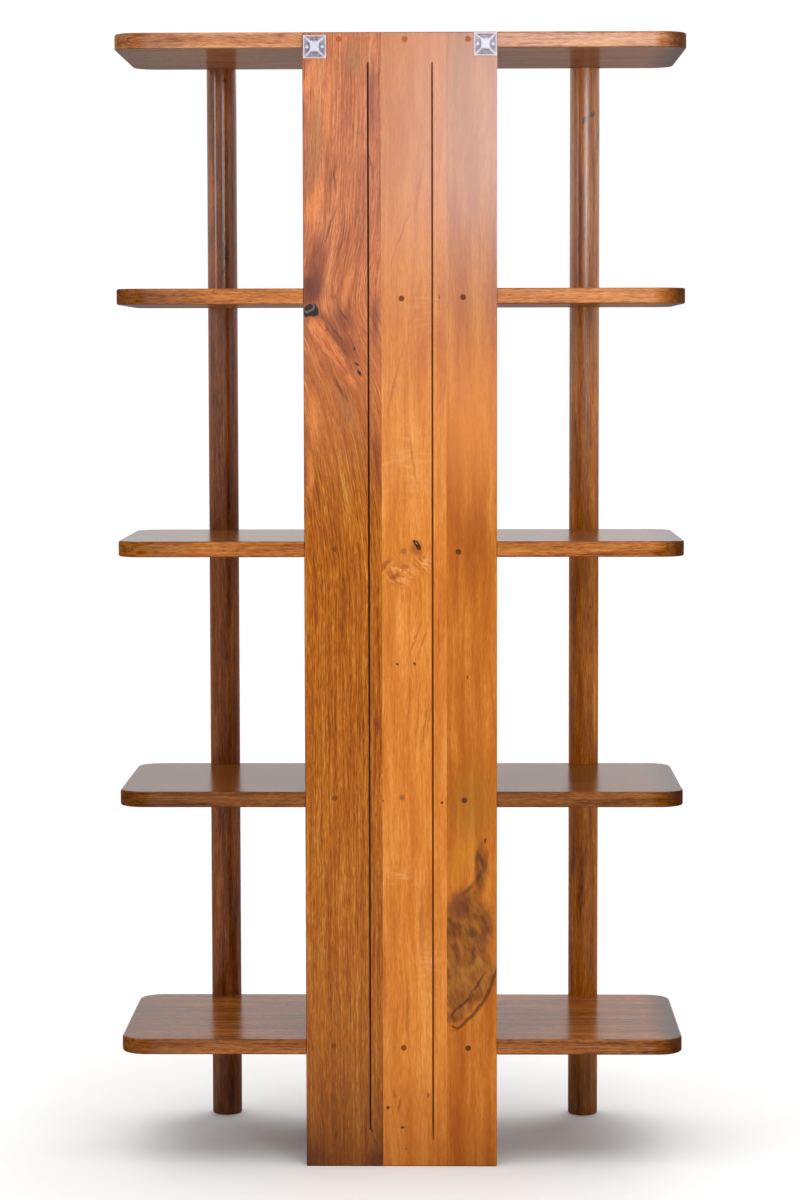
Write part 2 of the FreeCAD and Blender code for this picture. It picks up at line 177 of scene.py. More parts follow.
def lacquer(tree, shader, colour, grain, open_pores, coat):
    """Lacquer over the wood: a little duller over the grain, sunk where a pore is open"""
    dull = add(tree, "MapRange", {
        "Value": grain, "From Min": 0.3, "From Max": 0.7, "To Min": 0.35, "To Max": 0.25})
    sunk = add(tree, "Math", {0: 1.0, 1: open_pores}, operation="SUBTRACT")
    bump = add(tree, "Bump", {"Strength": 0.3, "Distance": 0.04 * MM, "Height": sunk})
    for socket, value in (("Base Color", colour), ("Roughness", dull), ("Normal", bump),
                          ("Coat Normal", bump), ("Coat Weight", coat)):
        tree.links.new(value, shader.inputs[socket])


# Satin lacquer, thick at the top and rubbed thin below: a broad, soft sheen over the panel's head,
# and bare-looking wood with hardly a gleam from there down
PANEL_LACQUER = {"specular_ior_level": 0.12, "coat_ior": 1.8, "coat_roughness": 0.2}

# Wide board: brown and orange streaks that sweep round a bark-edged knot at its outer edge. It
# turns from its lower colours to its upper ones between these two heights, in metres.
UPPER_WOOD = {"From Min": 1.08, "From Max": 1.36}
WIDE_FIGURE = [
    # Olive-brown patches
    ("#A86E40", 0.6, [
        (134, 1625, 17, 92, -4, 0.7), (70, 1760, 24, 40, 0, 0.8), (86, 1215, 16, 40, 20, 0.9)]),
    # Light orange streaks
    ("#E88A46", 0.6, [
        (143, 1728, 9, 42, -15, 0.6), (112, 1690, 9, 84, -3, 0.8), (134, 1535, 15, 52, -14, 0.7),
        (82, 1405, 9, 60, -12, 0.8), (136, 1200, 12, 60, 4, 0.9), (142, 1110, 8, 60, 0, 0.9)]),
    # Red-brown zones round the knot and beside the kerf
    ("#702C1A", 0.6, [
        (130, 1445, 24, 64, -10, 0.8), (144, 1400, 16, 36, 0, 0.7), (92, 1350, 30, 36, 30, 0.8),
        (84, 1310, 20, 44, 30, 0.8), (44, 1700, 10, 90, 0, 0.8), (38, 713, 7, 26, 0, 0.7),
        (40, 1350, 8, 60, 0, 0.8), (37, 1130, 9, 80, 4, 0.8)]),
    # Thin dark lines
    ("#42180A", 0.7, [
        (101, 1580, 2.2, 44, 0, 0.9), (109, 1500, 2.6, 40, -20, 0.9), (126, 1312, 2, 46, 36, 0.8),
        (101, 1332, 2.4, 40, 35, 0.9), (46, 1600, 1.8, 40, 10, 0.9), (96, 1246, 5, 30, 32, 0.9),
        (88, 1360, 2, 30, 30, 0.9)]),
    # Darker wood above the knot
    ("#5E2416", 0.75, [(136, 1402, 26, 44, -14, 0.8)]),
]
KNOT = [
    # The knot's black rim, the bark in it, the hole in the bark, and three small holes lower down
    ("#0C0604", 1.0, [(141, 1367, 13.5, 11.5, 0, 0.12)]),
    ("#7C6058", 0.8, [(143, 1371, 9.5, 8.5, 0, 0.25)]),
    ("#180A0A", 1.0, [
        (144, 1372, 7, 6, 0, 0.3), (71.5, 1307, 2.4, 5, 0, 0.6), (65, 1268, 2.6, 8, 25, 0.6),
        (68, 1281, 1.6, 6, 40, 0.6)]),
]
material, tree, shader = new_finish("lacquered_hardwood_wide_board", **PANEL_LACQUER)
place = add(tree, "TexCoord", {}, "Object")
height = add(tree, "SeparateXYZ", {0: place}, "Z")
# The grain leans out towards the knot from above and away from it below
share = add(tree, "MapRange", {"Value": height, "From Max": PANEL_TOP * MM})
lean = add(tree, "ValToRGB", {"Fac": share}, stops=[
    (0.0, 0.03), (0.52, 0.05), (0.60, 0.16), (0.69, 0.46), (0.745, 0.84), (0.775, 0.95),
    (0.83, 0.72), (1.0, 0.66)])
lean.node.color_ramp.interpolation = "B_SPLINE"
sideways = add(tree, "MapRange", {"Value": lean, "To Min": 88 * MM, "To Max": -32 * MM})
loose = wander(tree, place, 40, 200, 4)
flow = add(tree, "VectorMath", {
    0: loose, 1: add(tree, "CombineXYZ", {"X": sideways})}, operation="ADD")
upper, _ = timber(tree, flow, [
    (0.37, "#8A3E1C"), (0.46, "#B05E2E"), (0.53, "#C87040"), (0.63, "#DE9458")],
    broad=(20, 260), streaks=(2.6, 200), fibres=(1.5, 26), shares=(0.55, 0.68))
lower, streak = timber(tree, flow, [
    (0.38, "#763806"), (0.46, "#9A4E06"), (0.51, "#AE5E0E"), (0.56, "#BA6E1A"), (0.63, "#D08E3C")],
    broad=(16, 300), streaks=(2.4, 260), fibres=(1.5, 20), shares=(0.62, 0.62))
upwards = add(tree, "MapRange", {"Value": height, **UPPER_WOOD})
colour = add(tree, "Mix", {"Factor": upwards, "A": lower, "B": upper}, data_type="RGBA")
ragged = wander(tree, place, 14, 34, 6)
colour = marked(tree, colour, ragged, WIDE_FIGURE)
# A tongue of pale wood with its own grain slants down and inwards from the knot, dark at its edge
tongue_grain = add(tree, "Mapping", {"Vector": loose, "Rotation": (0, math.radians(-37), 0)})
tongue_wood, _ = timber(tree, tongue_grain, [
    (0.38, "#9A4018"), (0.48, "#C46430"), (0.58, "#DE864A")], broad=(8, 90), streaks=(2.6, 60))
tongue_edge = spots(tree, ragged, [(110, 1316, 20, 74, 35, 0.5), (130, 1346, 25, 25, 20, 0.5)])
colour = stain(tree, colour, tongue_edge, "#64280F", 0.55)
tongue = spots(tree, ragged, [
    (113, 1312, 16, 66, 36, 0.5), (132, 1341, 19, 20, 20, 0.5), (78, 1258, 11, 22, 30, 0.8)])
colour = add(tree, "Mix", {"Factor": tongue, "A": colour, "B": tongue_wood}, data_type="RGBA")
open_pores = pores(tree, flow, 0.13)
colour = stain(tree, colour, open_pores, "#321606", 0.4)
colour = marked(tree, colour, ragged, KNOT)
# Towards the floor the board is browner, and a painted shade makes it darkest at its foot
browner = add(tree, "MapRange", {"Value": height, "From Min": 0.7, "From Max": 0.1})
colour = stain(tree, colour, browner, "#8A5632", 0.3)
foot = add(tree, "MapRange", {"Value": height, "From Min": 0.20, "From Max": 0.0})
colour = stain(tree, colour, foot, "#3E1A04", 0.5)
colour = marked(tree, colour, ragged, [
    ("#3E1A1C", 0.5, [(150, 14, 46, 90, 16, 0.9), (38, 10, 26, 40, 0, 0.9)])])
# Painted shade darkens the board's rounded outer edge
outer_edge = add(tree, "MapRange", {
    "Value": add(tree, "SeparateXYZ", {0: place}, "X"), "From Min": (PANEL_EDGE - 1.7) * MM,
    "From Max": (PANEL_EDGE - 0.3) * MM})
colour = stain(tree, colour, outer_edge, "#4A1E0C", 0.6)
colour = marked(tree, colour, ragged, [
    ("#2A0E04", 0.8, [(49, 60, 1.4, 8, 12, 0.8), (43, 42, 1.4, 14, 22, 0.8)])])
colour = end_grain(tree, colour, height)
cut = kerf(tree, place, 50)
colour = stain(tree, colour, cut, "#4A200E", 0.92)
lacquer(tree, shader, colour, streak, open_pores, sprayed(tree, height, 0.02, 0.55, cut))
dress(material, "back_board_wide")

# Middle board: even, light orange wood with a soft ripple across it and a small dark knot
MIDDLE_FIGURE = [
    # Darker streaks
    ("#A4541A", 0.58, [
        (-22, 846, 2.4, 56, -20, 0.9), (-36, 846, 2.0, 44, -16, 0.9), (-38, 712, 2.4, 64, -9, 0.9),
        (-26, 720, 2.0, 84, -4, 0.9), (-46, 730, 2.0, 56, -8, 0.9), (-12, 740, 2.4, 70, -3, 0.9),
        (-33, 400, 7, 90, 0, 0.9), (-60, 850, 2.2, 60, 0, 0.9), (28, 300, 6, 120, 0, 0.9),
        (-10, 250, 4, 80, 0, 0.9), (-20, 1130, 3, 60, 6, 0.9), (10, 1250, 3, 70, -14, 0.9),
        (-30, 1560, 4, 90, -10, 0.9), (0, 1480, 2.4, 70, -20, 0.9)]),
    # Brown wood round the knot and round the holes at the foot
    ("#8A4014", 0.7, [
        (24, 966, 6, 20, -46, 0.8), (11, 117, 5, 12, 14, 0.9), (3, 98, 3.4, 16, -14, 0.9),
        (9, 948, 14, 5, 30, 0.8), (-43, 115, 4, 6, 0, 0.8), (-26, 992, 15, 16, 0, 0.8)]),
    # The knot and the small holes
    ("#200A04", 0.9, [
        (-26.5, 997, 5.4, 12.5, 39, 0.4), (5.5, 807, 2.6, 3, 0, 0.6),
        (-22.5, 808, 1.8, 3.4, 0, 0.6), (30, 589, 2.2, 3, 0, 0.6),
        (-64.5, 587.5, 2.6, 2.6, 0, 0.6), (21.5, 95, 2.4, 3.4, 0, 0.6),
        (-0.8, 61.5, 3.0, 3.6, -20, 0.6), (-7, 29, 1.8, 2, 0, 0.6), (-62, 1387, 1.6, 4, 0, 0.7)]),
]
material, tree, shader = new_finish("lacquered_hardwood_middle_board", **PANEL_LACQUER)
place = add(tree, "TexCoord", {}, "Object")
height = add(tree, "SeparateXYZ", {0: place}, "Z")
loose = wander(tree, place, 50, 200, 9)
colour, streak = timber(tree, loose, [
    (0.36, "#BE6620"), (0.47, "#CE782A"), (0.53, "#D88434"), (0.64, "#E89A4C")],
    broad=(24, 200), streaks=(4.0, 200), fibres=(1.8, 16), shares=(0.4, 0.72))
# The ripple: 6 mm waves across the grain, painted pale as the sheen that they show where the
# light falls along the board
ripple = mottle(tree, loose, 30, 6, 2.0)
lit = add(tree, "MapRange", {"Value": ripple, "From Min": 0.5, "From Max": 0.8})
rippled = spots(tree, place, [
    (-40, 1370, 40, 90, 0, 0.9), (-10, 1130, 60, 110, 0, 0.9), (-45, 330, 30, 120, 0, 0.9),
    (0, 470, 50, 50, 0, 0.9)])
shown = add(tree, "Math", {0: lit, 1: rippled}, operation="MULTIPLY")
colour = stain(tree, colour, shown, "#FFC488", 0.28)
# A slightly paler stretch between the third and fourth shelves, and redder wood from there up
colour = marked(tree, colour, place, [("#F09A4C", 0.15, [(-20, 1190, 90, 170, 0, 0.9)])])
redder = add(tree, "MapRange", {"Value": height, "From Min": 1.2, "From Max": 1.6})
colour = stain(tree, colour, redder, "#A8562C", 0.5)
# The fibres curl under the knot
turned = add(tree, "Mapping", {
    "Vector": wander(tree, place, 20, 16, 9), "Rotation": (0, math.radians(-52), 0)})
curls = add(tree, "ValToRGB", {"Fac": mottle(tree, turned, 7, 26, 3.0, roughness=0.6)}, stops=[
    (0.40, "#9A4A14"), (0.5, "#CC7A30"), (0.6, "#EEA660")])
colour = marked(tree, colour, place, [
    (curls, 0.7, [(2, 952, 38, 34, 0, 0.9), (-36, 968, 22, 26, 0, 0.9)])])
ragged = wander(tree, place, 9, 14, 5)
colour = marked(tree, colour, ragged, MIDDLE_FIGURE)
# A painted glint in the knot
colour = marked(tree, colour, place, [("#A8A098", 0.7, [(-25, 1000, 1.1, 3.4, 39, 0.6)])])
open_pores = pores(tree, loose, 0.06)
colour = stain(tree, colour, open_pores, "#8A4414", 0.3)
# Painted shade darkens the board's foot
foot = add(tree, "MapRange", {"Value": height, "From Min": 0.16, "From Max": 0.0})
colour = stain(tree, colour, foot, "#6E3204", 0.35)
colour = end_grain(tree, colour, height)
cut = kerf(tree, place, -50.5)
colour = stain(tree, colour, cut, "#A0500F", 0.92)
lacquer(tree, shader, colour, streak, open_pores, sprayed(tree, height, 0.02, 0.95, cut))
dress(material, "back_board_middle")

# Narrow board: soft orange grain, with a marbled dark patch of heartwood low down that ends in a
# dark line
HEART_PATCH = [
    (-104, 378, 50, 84, 0, 0.4), (-84, 300, 44, 74, 0, 0.3), (-112, 310, 42, 62, -20, 0.4),
    (-128, 480, 14, 60, 0, 0.6), (-84, 256, 20, 32, 0, 0.3)]
HEART_FIGURE = [
    # Red-brown and near-black marbling in the patch, and the mustard-brown wood over it
    ("#6B3420", 0.6, [
        (-94, 424, 18, 34, 0, 0.8), (-130, 372, 8, 24, 10, 0.9), (-139, 492, 5, 30, 0, 0.9),
        (-88, 330, 6, 40, 0, 0.9)]),
    ("#3A2014", 0.6, [
        (-109, 378, 12, 16, 10, 0.9), (-126, 468, 7, 30, -32, 0.9), (-104, 448, 6, 24, -50, 0.9),
        (-112, 340, 6, 22, 0, 0.9)]),
    ("#C47C1A", 0.7, [
        (-98, 502, 30, 30, 0, 0.9), (-86, 480, 16, 34, 0, 0.9), (-114, 516, 14, 22, 0, 0.9)]),
]
HEART_LINE = [
    # The double line that the patch ends in, and two small holes above it
    ("#3A1A0C", 0.72, [
        (-147.5, 305, 3.8, 30, -17, 0.7), (-137.5, 280, 4.2, 30, -28, 0.7),
        (-123.5, 258, 4.6, 30, -40, 0.7), (-108.4, 240, 4.6, 27, -46, 0.7),
        (-95, 227.5, 4.0, 20, -58, 0.7), (-84, 226, 3.4, 11, 70, 0.7),
        (-122, 296, 3.4, 34, -34, 0.9), (-100, 266, 3.8, 32, -50, 0.9),
        (-84, 250, 3.0, 18, -30, 0.9)]),
    ("#3A1408", 1.0, [(-106, 788, 1.6, 4, 0, 0.7), (-134, 527, 2.0, 8, 0, 0.7)]),
]
material, tree, shader = new_finish("lacquered_hardwood_narrow_board", **PANEL_LACQUER)
place = add(tree, "TexCoord", {}, "Object")
height = add(tree, "SeparateXYZ", {0: place}, "Z")
loose = wander(tree, place, 50, 220, 8)
colour, streak = timber(tree, loose, [
    (0.36, "#A8540E"), (0.47, "#B86418"), (0.53, "#C27020"), (0.64, "#D4863A")],
    broad=(20, 240), streaks=(4.0, 200), fibres=(1.8, 16), shares=(0.35, 0.72))
colour = marked(tree, colour, place, [("#E68A3C", 0.5, [(-112, 1200, 80, 190, 0, 0.9)])])
redder = add(tree, "MapRange", {"Value": height, "From Min": 1.25, "From Max": 1.6})
colour = stain(tree, colour, redder, "#8A4426", 0.45)
ragged = wander(tree, place, 26, 44, 11)
colour = marked(tree, colour, ragged, [
    # Green-brown stains, and a brown zone at the middle shelf
    ("#946010", 0.5, [
        (-86, 1740, 5, 60, 0, 0.8), (-100, 1755, 4, 50, 0, 0.8), (-112, 590, 60, 100, 0, 0.9)]),
    ("#8A4416", 0.26, [(-118, 985, 56, 100, 0, 0.9), (-149, 1012, 12, 16, 0, 0.9)])])
heart_grain = add(tree, "Mapping", {"Vector": loose, "Rotation": (0, math.radians(-24), 0)})
heart, _ = timber(tree, heart_grain, [
    (0.37, "#4E260C"), (0.46, "#784014"), (0.53, "#90541C"), (0.62, "#AC702C")],
    broad=(26, 44), streaks=(8, 26), fibres=(1.8, 12), shares=(0.5, 0.82))
colour = marked(tree, colour, ragged, [(heart, 0.92, HEART_PATCH)] + HEART_FIGURE)
colour = marked(tree, colour, wander(tree, place, 20, 20, 3), HEART_LINE)
open_pores = pores(tree, loose, 0.07)
colour = stain(tree, colour, open_pores, "#7A3C10", 0.3)
# Painted shade darkens the board's foot
foot = add(tree, "MapRange", {"Value": height, "From Min": 0.14, "From Max": 0.0})
colour = stain(tree, colour, foot, "#5E2602", 0.35)
colour = end_grain(tree, colour, height)
# Painted highlight on the rounded outer edge near the top, where it catches the light
outer_edge = add(tree, "MapRange", {
    "Value": add(tree, "SeparateXYZ", {0: place}, "X"), "From Min": -(PANEL_EDGE - 1.7) * MM,
    "From Max": -(PANEL_EDGE - 0.5) * MM})
lit = add(tree, "MapRange", {"Value": height, "From Min": 1.36, "From Max": 1.5})
caught = add(tree, "Math", {0: outer_edge, 1: lit}, operation="MULTIPLY")
colour = stain(tree, colour, caught, "#F0DCD8", 0.55)
lacquer(tree, shader, colour, streak, open_pores, sprayed(tree, height, 0.02, 1.0))
dress(material, "back_board_narrow")

# --------------------------------------------------------------------------------------------------
# Shelves. Each is three staves of the same hardwood glued along their length, sawn round at the
# corners, rounded over with a router, sanded and sprayed with the same lacquer. The grain runs
# in x.


def along_x(tree, at):
    """Places whose z runs along the shelf, so that boards and shelves are drawn in one way"""
    x, y, z = (add(tree, "SeparateXYZ", {0: at}, axis) for axis in "XYZ")
    return add(tree, "CombineXYZ", {"X": y, "Y": z, "Z": x})


# Each stave's grain is taken this much further along the timber than its neighbour's, in metres
STAVE_SHIFT = 0.7
# In mm from the middle of a shelf: where a corner's edge starts to turn dull, and where it is dull
CORNER_STARTS, CORNER_DULL = 396, 408
# Satin lacquer: the faces mirror the pale surroundings at a low angle and look milky grey, while
# the edges keep the wood's own colour
SHELF_WOODS = [
    # name of the shelf, darkest to lightest colour of its edge and faces, gloss of its lacquer as
    # an index, how much painted shade darkens its right-hand end, and the lacquer and the painted
    # shade on its top
    ("shelf_1", ("#4E2808", "#864816", "#9A5820", "#B47238"), 1.34, 0.5, 0.9, 0.0),
    ("shelf_2", ("#482404", "#703C0A", "#824812", "#9C5E22"), 1.34, 0.5, 0.85, 0.1),
    ("shelf_3", ("#62320B", "#9E5218", "#B26824", "#CA823E"), 1.34, 0.5, 0.9, 0.45),
    ("shelf_4", ("#763E10", "#B26424", "#C47632", "#DE924C"), 1.5, 0.8, 0.2, 0.2),
    ("shelf_5", ("#7C4220", "#B26C3E", "#C8824E", "#E0A06C"), 1.75, 0.45, 0.12, 0.2),
]
for shelf, (darkest, dark, light, lightest), gloss, end_shade, top_coat, top_painted_shade in SHELF_WOODS:
    underside, top = (corner[2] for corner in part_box(f"{shelf}_middle_stave"))
    for number, stave in enumerate(("back", "middle", "front")):
        material, tree, shader = new_finish(
            f"lacquered_hardwood_{shelf}_{stave}", specular_ior_level=0.0, coat_ior=gloss,
            coat_roughness=0.22)
        place = add(tree, "TexCoord", {}, "Object")
        shifted = add(tree, "Mapping", {
            "Vector": along_x(tree, place), "Location": (0, 0, STAVE_SHIFT * number)})
        loose = wander(tree, shifted, 60, 260, 7)
        colour, fine = timber(tree, loose, [
            (0.39, darkest), (0.47, dark), (0.53, light), (0.62, lightest)], broad=(14, 220),
            streaks=(3.0, 130), fibres=(1.6, 16), shares=(0.5, 0.62))
        open_pores = pores(tree, loose, 0.12)
        colour = stain(tree, colour, open_pores, "#3A1C0C", 0.35)
        # Painted shade darkens both ends a little, the left-hand one more than the other
        sideways = add(tree, "SeparateXYZ", {0: place}, "X")
        for start, stop, end_darkening in ((-398, -438, 0.85), (300, 450, end_shade)):
            shaded_end = add(tree, "MapRange", {
                "Value": sideways, "From Min": start * MM, "From Max": stop * MM})
            colour = stain(tree, colour, shaded_end, "#34180A", end_darkening)
        # The underside has one thin coat and a painted shade, and the two tops at eye level are
        # rubbed down to a dull satin under a painted shade of their own. Each face's mask fades
        # out in the rounding at its edge.
        above = add(tree, "SeparateXYZ", {0: place}, "Z")
        underside_thin_coat_and_shade = add(tree, "MapRange", {
            "Value": above, "From Min": underside + 2 * MM, "From Max": underside + 0.5 * MM})
        colour = stain(tree, colour, underside_thin_coat_and_shade, "#3A2820", 0.68)
        top_rubbed_and_shaded = add(tree, "MapRange", {
            "Value": above, "From Min": top - 2 * MM, "From Max": top - 0.5 * MM})
        colour = stain(tree, colour, top_rubbed_and_shaded, "#3A2820", top_painted_shade)
        # The edge at each corner, cut across the grain, soaked up its lacquer and stayed dull
        outwards = add(tree, "Math", {0: sideways}, operation="ABSOLUTE")
        edge = add(tree, "MapRange", {
            "Value": outwards, "From Min": CORNER_STARTS * MM, "From Max": CORNER_DULL * MM,
            "To Min": 0.9, "To Max": 0.05})
        coat = add(tree, "Mix", {"Factor": underside_thin_coat_and_shade, "A": edge, "B": 0.18}, data_type="FLOAT")
        coat = add(tree, "Mix", {"Factor": top_rubbed_and_shaded, "A": coat, "B": top_coat}, data_type="FLOAT")
        lacquer(tree, shader, colour, fine, open_pores, coat)
        dress(material, f"{shelf}_{stave}_stave")

# --------------------------------------------------------------------------------------------------
# Poles. Each is turned from one length of the same timber, one dark heartwood and one golden, and
# polished, so that they shine more than the boards. The grain runs up the pole.

POLE_WOODS = [
    # node, shade, darkest to lightest colour, gloss of the polish as an index, its roughness, how
    # thick it is at the top, and the figure: on the dark pole a lighter, redder patch at the foot
    # of the top bay and dark knots, and on the golden one two knots and a dark line
    ("pole_right", "dark", ("#4A200A", "#7A3E12", "#8C4A18", "#A86430"), 1.9, 0.16, 0.6, [
        ("#B8652C", 0.7, [(318, 1450, 14, 70, 0, 0.8), (322, 1560, 6, 120, 0, 0.9)]),
        ("#2A0E08", 0.8, [
            (299, 1755, 4, 4, 0, 0.5), (300, 1470, 4, 22, 10, 0.6),
            (302, 1440, 3, 12, -20, 0.6)])]),
    ("pole_left", "golden", ("#6C3404", "#A0560A", "#B46812", "#CC8430"), 2.0, 0.3, 0.9, [
        ("#241008", 0.85, [
            (-303.5, 1687, 4.5, 9, -20, 0.5), (-316, 1697, 6, 8, -40, 0.8),
            (-327, 1660, 2, 70, 0, 0.8)])]),
]
for pole, shade, (darkest, dark, light, lightest), gloss, polish, thickest, figure in POLE_WOODS:
    material, tree, shader = new_finish(
        f"lacquered_hardwood_{shade}_pole", specular_ior_level=0.0, coat_ior=gloss,
        coat_roughness=polish)
    place = add(tree, "TexCoord", {}, "Object")
    height = add(tree, "SeparateXYZ", {0: place}, "Z")
    loose = wander(tree, place, 40, 160, 6)
    colour, streak = timber(tree, loose, [
        (0.38, darkest), (0.47, dark), (0.54, light), (0.62, lightest)], broad=(12, 160))
    colour = marked(tree, colour, wander(tree, place, 8, 14, 3), figure)
    open_pores = pores(tree, loose, 0.13)
    colour = stain(tree, colour, open_pores, "#1E0C06", 0.4)
    # Painted shade darkens the pole's foot
    foot = add(tree, "MapRange", {"Value": height, "From Min": 0.2, "From Max": 0.05})
    colour = stain(tree, colour, foot, "#2A1408", 0.5)
    lacquer(tree, shader, colour, streak, open_pores, sprayed(tree, height, 0.14, thickest))
    dress(material, pole)

# --------------------------------------------------------------------------------------------------
# Screws and plugs. The long wood screws are zinc plated and hidden in the wood. Each plug is a
# short round of darker wood, glued over the screw and sanded flush, so its end grain shows.

# End grain under lacquer: dark, close-speckled discs with next to no gleam. The speckle is drawn
# coarser than real pores, so that it shows.
material, tree, shader = new_finish("end_grain_plug", roughness=0.4, specular_ior_level=0.15)
place = add(tree, "TexCoord", {}, "Object")
sideways = add(tree, "SeparateXYZ", {0: place}, "X")
speck = add(tree, "TexNoise", {"Vector": place, "Scale": 1 / (1.2 * MM), "Detail": 2.0}, "Fac")
colour = add(tree, "ValToRGB", {"Fac": speck}, stops=[(0.35, "#5A2610"), (0.7, "#7E4018")])
# Those to the right of the narrow board's glue line are cut from more amber wood
amber = add(tree, "MapRange", {"Value": sideways, "From Min": -72 * MM, "From Max": -70 * MM})
colour = stain(tree, colour, amber, "#9A4E16", 0.7)
# Each plug is cut from another scrap, so some are darker, and four are pale
scrap = add(tree, "TexNoise", {"Vector": place, "Scale": 1 / (90 * MM), "Detail": 0.0}, "Fac")
darker = add(tree, "MapRange", {"Value": scrap, "From Min": 0.4, "From Max": 0.6})
colour = stain(tree, colour, darker, "#4A200E", 0.35)
colour = marked(tree, colour, place, [
    ("#B46C34", 0.7, [
        (-7.9, 1788.5, 6, 6, 0, 0.1), (-106.8, 1788.5, 6, 6, 0, 0.1), (-4.9, 987, 6, 6, 0, 0.1),
        (-1.8, 595.8, 6, 6, 0, 0.1)])])
# Those in the wide board match its wood so well that they hardly show
outer = add(tree, "MapRange", {"Value": sideways, "From Min": 29 * MM, "From Max": 30 * MM})
redder = add(tree, "MapRange", {"Value": add(tree, "SeparateXYZ", {0: place}, "Z"), **UPPER_WOOD})
matching = add(tree, "Mix", {"Factor": redder, "A": "#804208", "B": "#AE5E34"}, data_type="RGBA")
colour = add(tree, "Mix", {"Factor": outer, "A": colour, "B": matching}, data_type="RGBA")
tree.links.new(colour, shader.inputs["Base Color"])
dress(material, "panel_plugs", "pole_plugs")

# Zinc plate on steel: bright metal with a faint blue cast and a soft, slightly cloudy gleam
material, tree, shader = new_finish("zinc_plated_screw", metallic=1.0, roughness=0.42)
place = add(tree, "TexCoord", {}, "Object")
speck = add(tree, "TexNoise", {"Vector": place, "Scale": 1 / (0.8 * MM), "Detail": 2.0}, "Fac")
colour = add(tree, "ValToRGB", {"Fac": speck}, stops=[(0.3, "#CECED4"), (0.7, "#F0F0F4")])
tree.links.new(colour, shader.inputs["Base Color"])
dress(material, "panel_screws", "pole_screws", "bracket_screws")

# --------------------------------------------------------------------------------------------------
# Anti-tip brackets. Each is injection moulded in clear, faintly violet plastic, so the wood shows
# through, and it is held by two round-head screws.

# Clear moulded plastic: a glossy, milky skin with a violet tinge, with painted highlights
# where light gathers in it
BRACKET_HALF_SIDE = 18
for side in ("right", "left"):
    low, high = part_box(f"anti_tip_bracket_{side}")
    centre = [(a + b) / 2 for a, b in zip(low, high)]
    material, tree, shader = new_finish(f"clear_moulded_plastic_{side}", roughness=0.2, alpha=0.85)
    place = add(tree, "TexCoord", {}, "Object")
    # Places on the plate's face, from -1 to 1 across and up it
    local = add(tree, "Mapping", {
        "Vector": place, "Location": centre,
        "Scale": (BRACKET_HALF_SIDE * MM, 1.0, BRACKET_HALF_SIDE * MM)}, vector_type="TEXTURE")
    across, up = (
        add(tree, "Math", {0: add(tree, "SeparateXYZ", {0: local}, axis)}, operation="ABSOLUTE")
        for axis in "XZ")
    outward = add(tree, "Math", {0: across, 1: up}, operation="MAXIMUM")
    off_corner = add(tree, "Math", {0: across, 1: up}, operation="SUBTRACT")
    aside = add(tree, "Math", {0: off_corner}, operation="ABSOLUTE")
    haze = add(tree, "TexNoise", {"Vector": place, "Scale": 1 / (5 * MM), "Detail": 2.0}, "Fac")
    colour = add(tree, "ValToRGB", {"Fac": haze}, stops=[(0.35, "#8C8496"), (0.65, "#B8B0C2")])
    # Painted highlights where light gathers: in the four ribs to the plate's corners, in the
    # saddle's crown and in the rim
    for measured, start, stop, paint, strength in (
            (aside, 0.16, 0.06, "#EEEAF8", 0.9), (outward, 0.46, 0.36, "#E2E2F2", 0.85),
            (outward, 0.85, 0.89, "#E6D6DE", 0.8)):
        painted_highlight = add(tree, "MapRange", {"Value": measured, "From Min": start, "From Max": stop})
        colour = stain(tree, colour, painted_highlight, paint, strength)
    tree.links.new(colour, shader.inputs["Base Color"])
    dress(material, f"anti_tip_bracket_{side}")

# --------------------------------------------------------------------------------------------------
# Studio: a plain pale floor and horizon all round, a wide overhead softbox, and soft lamps high on
# the side of the back panel, whose mirror image is the sheen on the panel's top.

# Matt floor paint: an even off-white with no gleam
FLOOR_HALF = 30.0
mesh = bmesh.new()
bmesh.ops.create_grid(mesh, x_segments=1, y_segments=1, size=FLOOR_HALF)
floor_mesh = bpy.data.meshes.new("studio_floor")
mesh.to_mesh(floor_mesh)
mesh.free()
floor = bpy.data.objects.new("studio_floor", floor_mesh)
bpy.context.scene.collection.objects.link(floor)
material, tree, shader = new_finish("pale_floor_paint", roughness=0.9)
place = add(tree, "TexCoord", {}, "Object")
blotch = add(tree, "TexNoise", {"Vector": place, "Scale": 1.5, "Detail": 2.0}, "Fac")
paint = add(tree, "ValToRGB", {"Fac": blotch}, stops=[(0.3, "#F2F2F1"), (0.7, "#F6F6F6")])
tree.links.new(paint, shader.inputs["Base Color"])
floor.data.materials.append(material)

# Heights over the horizon, as sines: the pale air ends in the first pair, and the softbox starts in
# the second
AIR_ENDS = (0.19, 0.27)
SOFTBOX_STARTS = (0.66, 0.84)
world = bpy.data.worlds.new("studio")
world.use_nodes = True
bpy.context.scene.world = world
tree = world.node_tree
way = add(tree, "TexCoord", {}, "Generated")
up = add(tree, "SeparateXYZ", {0: way}, "Z")
# The air over the horizon is dimmer on the side that the back panel looks to
air = add(tree, "ValToRGB", {"Fac": up}, stops=[(0.0, 1.0), (AIR_ENDS[0], 1.0), (AIR_ENDS[1], 0.0)])
panel_side = add(tree, "MapRange", {
    "Value": add(tree, "SeparateXYZ", {0: way}, "Y"), "From Min": -0.6, "From Max": 0.3})
over = add(tree, "MapRange", {"Value": up, "From Min": 0.0, "From Max": 0.1})
shade = add(tree, "Math", {0: panel_side, 1: over}, operation="MULTIPLY")
dimmer = add(tree, "MapRange", {"Value": shade, "To Min": 1.0, "To Max": 0.5})
low = add(tree, "VectorMath", {0: air, "Scale": dimmer}, operation="SCALE")
high = add(tree, "ValToRGB", {"Fac": up}, stops=[
    (AIR_ENDS[0], 0.0), (AIR_ENDS[1], 0.4), (SOFTBOX_STARTS[0], 0.4), (SOFTBOX_STARTS[1], 2.0)])
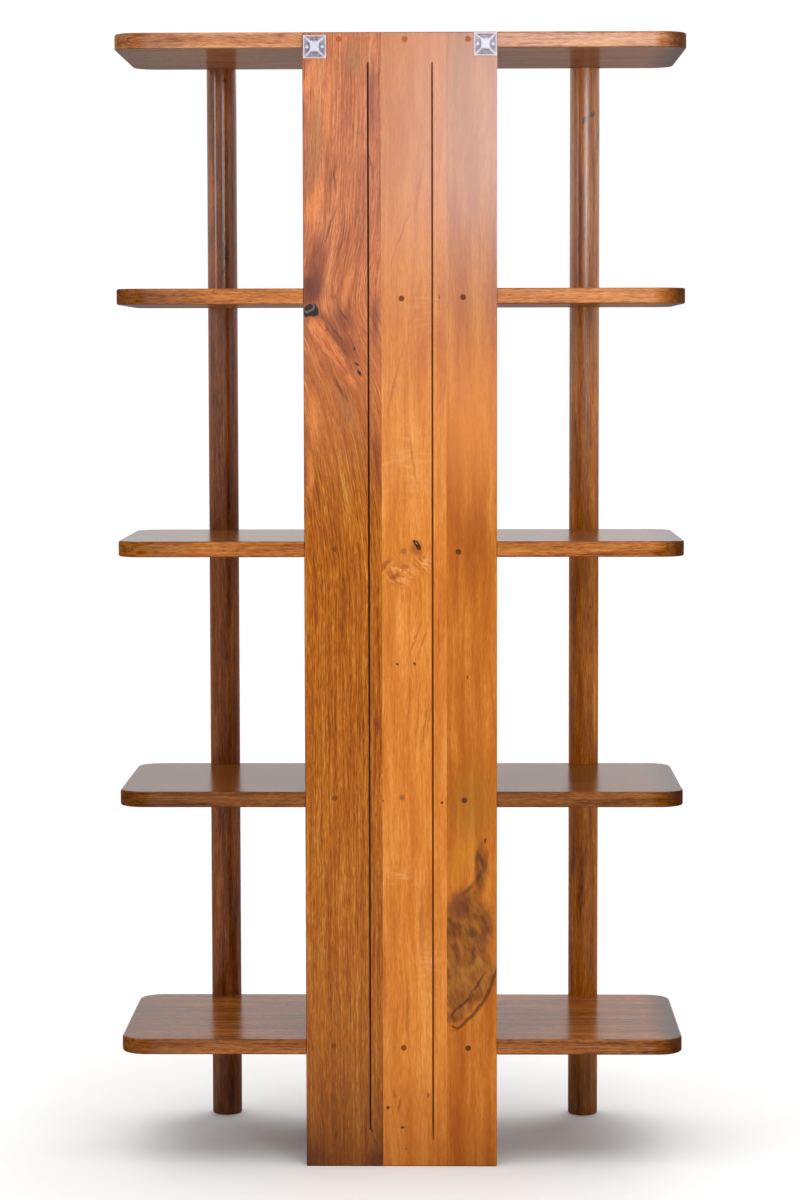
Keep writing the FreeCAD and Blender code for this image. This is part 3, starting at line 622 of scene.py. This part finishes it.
light = add(tree, "VectorMath", {0: low, 1: high}, operation="ADD")
tree.links.new(light, tree.nodes["Background"].inputs["Color"])
tree.nodes["Background"].inputs["Strength"].default_value = 1.04

LAMPS = [
    # name, place and target in metres, width, height and watts. Right and left are as the camera
    # sees them: the right and sheen lamps give the panel's sheen, the strip lamp the highlight
    # down each pole, and the left lamp lights the poles' left sides. The front lamp lights the
    # side that faces away from the camera.
    ("right_lamp", (-0.50, 2.5, 1.80), (-0.3, 0.0, 1.6), 0.96, 0.68, 2.0),
    ("sheen_lamp", (-0.25, 2.4, 1.84), (-0.1, 0.0, 1.7), 0.46, 0.54, 2.4),
    ("strip_lamp", (-1.06, 2.5, 1.80), (-0.1, 0.0, 1.6), 0.6, 0.68, 11.5),
    ("left_lamp", (2.6, 1.8, 1.85), (0.3, 0.0, 1.5), 0.55, 0.75, 5.4),
    ("front_lamp", (-1.6, -3.0, 2.6), (0.0, 0.0, 0.9), 1.6, 1.2, 14),
]
for name, stand, target, width, tall, watts in LAMPS:
    data = bpy.data.lights.new(name, "AREA")
    data.shape = "RECTANGLE"
    data.size = width
    data.size_y = tall
    data.energy = watts
    lamp = bpy.data.objects.new(name, data)
    lamp.location = stand
    lamp.rotation_euler = (Vector(target) - Vector(stand)).to_track_quat("-Z", "Y").to_euler()
    lamp.visible_camera = False
    bpy.context.scene.collection.objects.link(lamp)

# Camera: where the photograph was taken from, found by fitting some 150 edge points of the unit
PICTURE_HEIGHT = 1200
FOCAL_LENGTH = 3214.7          # in pixels of the photograph
SENSOR_HEIGHT = 36.0
camera_data = bpy.data.cameras.new("camera")
camera_data.sensor_fit = "VERTICAL"
camera_data.sensor_height = SENSOR_HEIGHT
camera_data.lens = SENSOR_HEIGHT * FOCAL_LENGTH / PICTURE_HEIGHT
camera = bpy.data.objects.new("camera", camera_data)
camera.location = (-0.0747, 5.2653, 1.2887)
look = Vector((0.01491, -0.99711, -0.07443))
roll = Quaternion((0, 0, 1), math.radians(-0.11))
camera.rotation_mode = "QUATERNION"
camera.rotation_quaternion = look.to_track_quat("-Z", "Y") @ roll
bpy.context.scene.collection.objects.link(camera)
bpy.context.scene.camera = camera
bpy.context.scene.view_settings.view_transform = "Standard"
